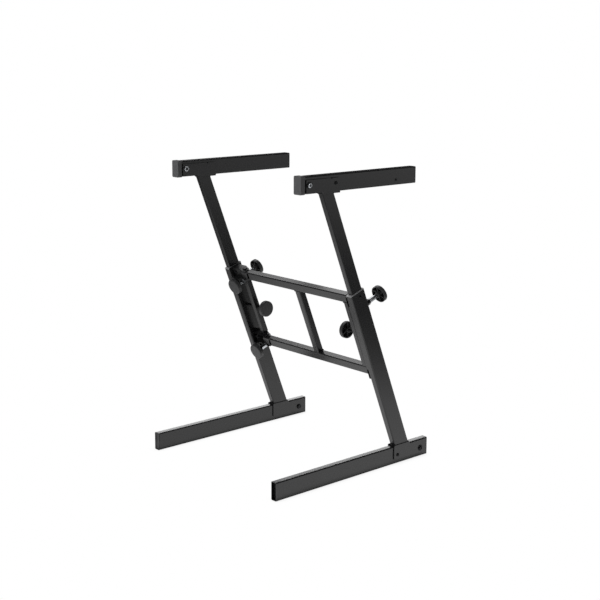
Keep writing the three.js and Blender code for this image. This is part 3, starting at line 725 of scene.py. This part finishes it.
def clamp(name, side):
    """The long screw through the post's inner wall, and its knob."""
    x, body = side * SIDE_X, f"{name}_clamp"
    inward = (-side, 0, 0)
    screw = moved(threaded(4.0, 75.0), facing(on_post(x - side * 8.5, *CLAMP), inward))
    piece(screw, f"{name}_clamp_thread", body, "zinc", f"{name}_clamp_screw", material=BLACK_OXIDE)
    disc = moved(knob(-12, 4.4), facing(on_post(x - side * 88, *CLAMP), inward))
    piece(disc, f"{name}_clamp_disc", body, "knob_plastic", f"{name}_clamp_knob")


def hinge_lock(name, up):
    """A knob whose screw goes through the hinge bracket's tab into a hexagon sleeve behind it."""
    lock_up = up - LOCK_DOWN
    disc = moved(knob(-10.7), facing(on_post(LOCK_X, -36, lock_up), -BEHIND_POST))
    piece(disc, f"{name}_lock_disc", f"{name}_lock", "knob_plastic", f"{name}_lock_knob")
    screw = moved(threaded(4.0, 35.0), facing(on_post(LOCK_X, -26, lock_up), BEHIND_POST))
    piece(screw, f"{name}_lock_thread", f"{name}_lock", "zinc")
    sleeve = carve(prism(6, 6.9, 32), shifted(prism(24, SCREW_HOLE, 40), 0, 0, -4))
    flat_up = facing(on_post(LOCK_X, -21.7, lock_up), BEHIND_POST) @ Matrix.Rotation(math.pi / 6, 4, "Z")
    piece(moved(sleeve, flat_up), f"{name}_lock_tube", "left_frame", "zinc",
          f"{name}_lock_sleeve", edge=0.5)


for name, side in SIDES.items():
    pull_pin(name, side * SIDE_X)
    clamp(name, side)
for name, up in RAILS.items():
    hinge_lock(name, up)


# ---------------------------------------------------------------- welds

def bead(start, end, radius=2.0):
    """A weld along a line, as a row of overlapping ripples."""
    start, end = Vector(start), Vector(end)
    count = max(2, round((end - start).length / (radius * 1.1)))
    bm = bmesh.new()
    for i in range(count + 1):
        size = radius * (1 + 0.12 * math.sin(2.3 * i))
        bmesh.ops.create_icosphere(bm, subdivisions=2, radius=size,
                                   matrix=Matrix.Translation(start.lerp(end, i / count)))
    return bm


def frame_welds():
    """Beads at the ends of the brace and the upright, behind the strip, and on the rails' right ends."""
    rows = []
    for up in (RAILS["upper"] - RAIL_HALF, RAILS["lower"] + RAIL_HALF):
        for x, width in UPRIGHTS.values():
            half = width / 2
            rows += [bead((x + edge * half, -19, up), (x + edge * half, -1, up)) for edge in (-1, 1)]
            rows.append(bead((x - half + 1, 0, up), (x + half - 1, 0, up), 1.6))
    rows += [bead((250, 0.5, up), (250, 0.5, up + 40), 1.8) for up in (280, 400)]
    rows += [bead((RAIL_END, -21, up + 12.6), (RAIL_END, 1, up + 12.6), 1.8) for up in RAILS.values()]
    piece(leaning(together(*rows)), "centre_frame_welds", CENTRE, "powder_coat", material=GLOSS_BEAD)


def post_welds(name, body, side, height, section):
    """Beads round a post where it meets a level web."""
    x, y = side * SIDE_X, POST_FOOT[1] - math.tan(LEAN) * (height - POST_FOOT[2])
    half_x = section[0] / 2
    half_y = section[1] / 2 / math.cos(LEAN)
    rows = [bead((x - half_x + 1, y + edge * half_y, height), (x + half_x - 1, y + edge * half_y, height))
            for edge in (-1, 1)]
    near, far = y - half_y + 3, y + half_y - 3
    rows += [bead((x + edge * half_x, near, height), (x + edge * half_x, far, height), 1.5)
             for edge in (-1, 1)]
    piece(together(*rows), name, body, "powder_coat", material=GLOSS_BEAD)


frame_welds()
for name, side in SIDES.items():
    post_welds(f"{name}_foot_welds", BASE[name], side, LEG_WEB_TOP + 0.1, POST_SECTION)
    post_welds(f"{name}_head_welds", f"{name}_upper_post", side, ARM_WEB_UNDER - 0.1, INNER_SECTION)


# ---------------------------------------------------------------- floor, backdrop and lamps

# Sockets of a colour's Mix node, which has others of the same names.
MIX_A, MIX_B, MIX_RESULT = 6, 7, 2
# What mirrors see of the room: strengths from straight down (0) to straight up (1).
ROOM = [(0.0, 1.0), (1.0, 0.05), (0.47, 0.9), (0.49, 0.6), (0.505, 0.0), (0.58, 0.0), (0.62, 0.08),
        (0.8, 0.03)]
# What lights the object from the world, besides the lamps.
WORLD_GREY = "626262"
# What mirrors see of the floor, a painted pool of light: strengths from the pool's middle (0) to its reach
# (1). Both are in metres.
PAINTED_POOL_MIDDLE = (0.25, 0.0, 0)
PAINTED_POOL_REACH = 10.0
PAINTED_POOL = [(0.0, 1.2), (1.0, 1.0), (0.07, 1.12), (0.095, 0.82), (0.13, 0.33), (0.23, 0.01), (0.37, 0.13),
        (0.6, 1.0)]


def steps_of(tree, source, stops):
    """A ramp of plain strengths: (where, strength) pairs along a value from 0 to 1, its two ends first."""
    ramp = add_node(tree, "ShaderNodeValToRGB", {"Fac": source})
    for i, (where, strength) in enumerate(stops):
        stop = ramp.color_ramp.elements[i] if i < 2 else ramp.color_ramp.elements.new(where)
        stop.position = where
        stop.color = (strength, strength, strength, 1)
    return ramp.outputs["Color"]


def background_rays(tree):
    """1 for what the camera sees alone, and 1 for that and what shows in mirrors and through glass."""
    ray = add_node(tree, "ShaderNodeLightPath")
    mirrored = add_node(tree, "ShaderNodeMath", {0: ray.outputs["Is Glossy Ray"],
                                                 1: ray.outputs["Is Transmission Ray"]}, operation="ADD")
    both = add_node(tree, "ShaderNodeMath", {0: mirrored.outputs[0], 1: ray.outputs["Is Camera Ray"]},
                    operation="ADD", use_clamp=True)
    return ray.outputs["Is Camera Ray"], both.outputs[0]


def studio_world():
    """White behind the object. Mirrors see it white low down, and the dark room above that."""
    world = bpy.data.worlds.new("studio")
    bpy.context.scene.world = world
    world.use_nodes = True
    tree = world.node_tree
    camera, seen = background_rays(tree)
    place = add_node(tree, "ShaderNodeTexCoord")
    height = add_node(tree, "ShaderNodeSeparateXYZ", {0: place.outputs["Generated"]})
    level = add_node(tree, "ShaderNodeMapRange", {"Value": height.outputs["Z"]}, From_Min=-1.0,
                     From_Max=1.0)
    room = steps_of(tree, level.outputs["Result"], ROOM)
    shown = add_node(tree, "ShaderNodeMix", {"Factor": camera, MIX_A: room}, data_type="RGBA")
    shown.inputs[MIX_B].default_value = linear("ffffff")
    mixed = add_node(tree, "ShaderNodeMix", {"Factor": seen, MIX_B: shown.outputs[MIX_RESULT]},
                     data_type="RGBA")
    mixed.inputs[MIX_A].default_value = linear(WORLD_GREY)
    tree.links.new(mixed.outputs[MIX_RESULT], tree.nodes["Background"].inputs["Color"])


def studio_floor():
    """A white floor, with a faint painted contact shadow where the stand touches it.

    Mirrors see a painted pool of light on it, which fades with distance, and a painted shadow under the
    legs.
    """
    bm = bmesh.new()
    bmesh.ops.create_grid(bm, x_segments=1, y_segments=1, size=12)
    mesh = bpy.data.meshes.new("floor")
    bm.to_mesh(mesh)
    bm.free()
    floor = bpy.data.objects.new("floor", mesh)
    bpy.context.scene.collection.objects.link(floor)
    material, tree, shader, place = new_material("pale_floor")
    shader.inputs["Base Color"].default_value = linear("e8e8e8")
    shader.inputs["Roughness"].default_value = 0.9
    camera, seen = background_rays(tree)
    # A painted pool of light round the stand, seen in mirrors alone.
    away = add_node(tree, "ShaderNodeVectorMath", {0: place}, operation="DISTANCE")
    away.inputs[1].default_value = PAINTED_POOL_MIDDLE
    reach = add_node(tree, "ShaderNodeMath", {0: away.outputs["Value"]}, operation="DIVIDE")
    reach.inputs[1].default_value = PAINTED_POOL_REACH
    painted_pool = steps_of(tree, reach.outputs[0], PAINTED_POOL)
    # Painted shadow where the stand meets the floor: near black in mirrors, and a faint grey to the camera.
    near = add_node(tree, "ShaderNodeAmbientOcclusion", samples=4, Distance=0.025).outputs["AO"]
    painted_shadow_mask = add_node(tree, "ShaderNodeMapRange", {"Value": near}, From_Min=0.45, From_Max=1.0)
    under = add_node(tree, "ShaderNodeMix", {"Factor": painted_shadow_mask.outputs["Result"], MIX_B: painted_pool},
                     data_type="RGBA")
    under.inputs[MIX_A].default_value = linear("101010")
    painted_faint_shadow = add_node(tree, "ShaderNodeMapRange", {"Value": near}, From_Min=0.3, From_Max=0.8, To_Min=0.8)
    shown = add_node(tree, "ShaderNodeMix", {"Factor": camera, MIX_A: under.outputs[MIX_RESULT],
                                             MIX_B: painted_faint_shadow.outputs["Result"]}, data_type="RGBA")
    glow = add_node(tree, "ShaderNodeEmission", {"Color": shown.outputs[MIX_RESULT]})
    mixed = add_node(tree, "ShaderNodeMixShader", {0: seen, 1: shader.outputs[0], 2: glow.outputs[0]})
    tree.links.new(mixed.outputs[0], tree.nodes["Material Output"].inputs["Surface"])
    mesh.materials.append(material)


def lamp(name, place, aim, size, watts, mirrored=True):
    """A rectangular softbox at a place, turned to what it lights. Sizes and places are in metres."""
    data = bpy.data.lights.new(name, "AREA")
    data.energy = watts
    data.shape = "RECTANGLE"
    data.size, data.size_y = size
    made = bpy.data.objects.new(name, data)
    made.location = place
    made.rotation_euler = (Vector(aim) - Vector(place)).to_track_quat("-Z", "Y").to_euler()
    made.visible_camera = False
    made.visible_glossy = mirrored
    bpy.context.scene.collection.objects.link(made)


studio_world()
studio_floor()
lamp("low_rear_panel", (-1.25, 1.2, 0.52), aim=(0, 0, 0.3), size=(2.6, 0.6), watts=12.5)
lamp("overhead_softbox", (-1.8, 0.6, 2.9), aim=(0, 0, 0.4), size=(2.0, 2.0), watts=34)
lamp("right_glint", (2.69, -0.2, 1.9), aim=(0.27, 0, 0.5), size=(1.3, 0.6), watts=17)
lamp("rear_softbox", (0.1, 2.9, 2.0), aim=(0, 0, 0.4), size=(1.8, 0.9), watts=11)
lamp("front_left", (-1.0, -3.2, 1.8), aim=(0, 0, 0.4), size=(1.6, 1.6), watts=110, mirrored=False)

bpy.context.scene.view_settings.view_transform = "Standard"
